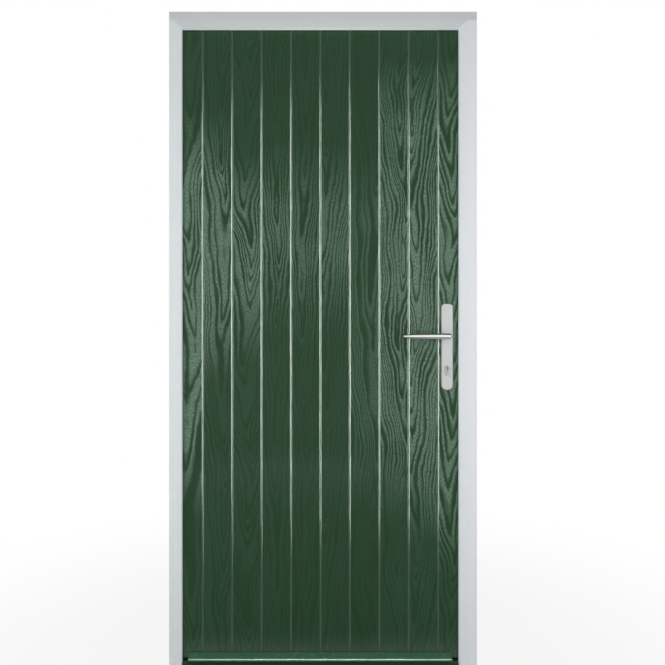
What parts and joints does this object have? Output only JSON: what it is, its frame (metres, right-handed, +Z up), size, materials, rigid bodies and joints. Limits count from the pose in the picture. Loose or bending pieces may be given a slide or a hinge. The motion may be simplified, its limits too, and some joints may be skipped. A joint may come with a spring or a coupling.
{
  "type": "front door",
  "caption": "Green composite front door leaf with vertical V-grooves, long-plate lever handles and multi-point lock, hung inward-opening in a white PVC-U frame.",
  "frame": {"origin": "on the floor, at the middle of the frame's width and of the leaf's thickness", "axes": "+X to the right seen from outside, towards the lock jamb; +Y indoors; +Z up"},
  "size_m": [0.955, 0.146, 2.04],
  "materials": {
    "frame_pvc": "smooth low-sheen white extrusion",
    "galvanised_steel": "dull zinc-coated sheet",
    "seal_rubber": "soft matt black extrusion",
    "threshold_aluminium": "satin anodised extrusion",
    "keep_steel": "satin plated plate",
    "screw_steel": "bright zinc-plated",
    "hinge_metal": "satin silver",
    "pin_steel": "ground and polished",
    "green_skin": "semi-gloss green with moulded wood grain",
    "foam": "rigid closed-cell foam, sealed inside",
    "edge_timber": "green-painted timber edge",
    "weather_bar_green": "green powder coat",
    "bush_nylon": "white nylon",
    "faceplate_steel": "satin stainless strip",
    "case_steel": "zinc-plated pressed sheet",
    "plate_satin": "brushed satin silver",
    "lever_polished": "polished silver",
    "bolt_metal": "ground nickel-plated bolt",
    "cylinder_metal": "satin nickel-plated brass",
    "rail_steel": "zinc-plated strip"
  },
  "bodies": {
    "frame": {"hinge_jamb": "frame_pvc", "lock_jamb": "frame_pvc", "lock_jamb_back": "frame_pvc", "frame_head": "frame_pvc", "hinge_jamb_steel": "galvanised_steel", "lock_jamb_steel": "galvanised_steel", "head_steel": "galvanised_steel", "hinge_jamb_seal": "seal_rubber", "lock_jamb_seal": "seal_rubber", "head_seal": "seal_rubber", "threshold": "threshold_aluminium", "centre_keep": "keep_steel", "upper_hook_keep": "keep_steel", "lower_hook_keep": "keep_steel", "keep_screws": "screw_steel", "hinge_frame_screws": "screw_steel", "bottom_hinge_frame_flag": "hinge_metal", "middle_hinge_frame_flag": "hinge_metal", "top_hinge_frame_flag": "hinge_metal", "bottom_hinge_pin": "pin_steel", "middle_hinge_pin": "pin_steel", "top_hinge_pin": "pin_steel"},
    "door_leaf": {"outer_skin": "green_skin", "inner_skin": "green_skin", "foam_core": "foam", "hinge_stile": "edge_timber", "lock_stile": "edge_timber", "top_rail": "edge_timber", "bottom_rail": "edge_timber", "weather_bar": "weather_bar_green", "weather_bar_caps": "weather_bar_green", "leaf_seal": "seal_rubber", "hinge_door_screws": "screw_steel", "hinge_bushes": "bush_nylon", "lock_faceplate": "faceplate_steel", "faceplate_screws": "screw_steel", "lock_case": "case_steel", "upper_hook_case": "case_steel", "lower_hook_case": "case_steel", "hook_pivots": "pin_steel", "outer_handle_plate": "plate_satin", "inner_handle_plate": "plate_satin", "handle_screws": "screw_steel", "cylinder_body": "cylinder_metal", "cylinder_screw": "screw_steel", "bottom_hinge_door_flag": "hinge_metal", "middle_hinge_door_flag": "hinge_metal", "top_hinge_door_flag": "hinge_metal"},
    "lever_set": {"outer_lever": "lever_polished", "inner_lever": "lever_polished", "spindle": "rail_steel", "follower": "case_steel"},
    "latch": {"latch_bolt": "bolt_metal"},
    "cylinder_core": {"outer_plug": "cylinder_metal", "cylinder_cam": "case_steel", "thumb_turn": "plate_satin"},
    "deadbolt": {"deadbolt": "bolt_metal"},
    "rail": {"drive_rail": "rail_steel"},
    "upper_hook": {"upper_hook": "bolt_metal"},
    "lower_hook": {"lower_hook": "bolt_metal"}
  },
  "joints": [
    {"name": "door_swing", "type": "hinge", "parent": "frame", "child": "door_leaf", "pos_m": [-0.4525, 0.0313, 1.012], "axis": [0, 0, 1], "range_deg": [0, 100]},
    {"name": "lever_turn", "type": "hinge", "parent": "door_leaf", "child": "lever_set", "pos_m": [0.3885, 0, 1.033], "axis": [0, 1, 0], "range_deg": [-35, 45], "stiffness_Nm_per_rad": 4, "springref_deg": 3.45},
    {"name": "latch_slide", "type": "slide", "parent": "door_leaf", "child": "latch", "axis": [1, 0, 0], "range_m": [0, 0.01]},
    {"name": "key_turn", "type": "hinge", "parent": "door_leaf", "child": "cylinder_core", "pos_m": [0.3885, 0, 0.933], "axis": [0, 1, 0], "range_deg": [0, 360]},
    {"name": "deadbolt_slide", "type": "slide", "parent": "door_leaf", "child": "deadbolt", "axis": [1, 0, 0], "range_m": [0, 0.02]},
    {"name": "rail_slide", "type": "slide", "parent": "door_leaf", "child": "rail", "axis": [0, 0, 1], "range_m": [0, 0.01606]},
    {"name": "upper_hook_turn", "type": "hinge", "parent": "door_leaf", "child": "upper_hook", "pos_m": [0.4135, 0, 1.65], "axis": [0, 1, 0], "range_deg": [0, 70]},
    {"name": "lower_hook_turn", "type": "hinge", "parent": "door_leaf", "child": "lower_hook", "pos_m": [0.4135, 0, 0.35], "axis": [0, 1, 0], "range_deg": [0, 70]}
  ],
  "couplings": [
    {"joint": "key_turn", "follows": "deadbolt_slide", "rad_per_m": 314.15},
    {"joint": "upper_hook_turn", "follows": "rail_slide", "rad_per_m": 76.07},
    {"joint": "lower_hook_turn", "follows": "rail_slide", "rad_per_m": 76.07}
  ]
}
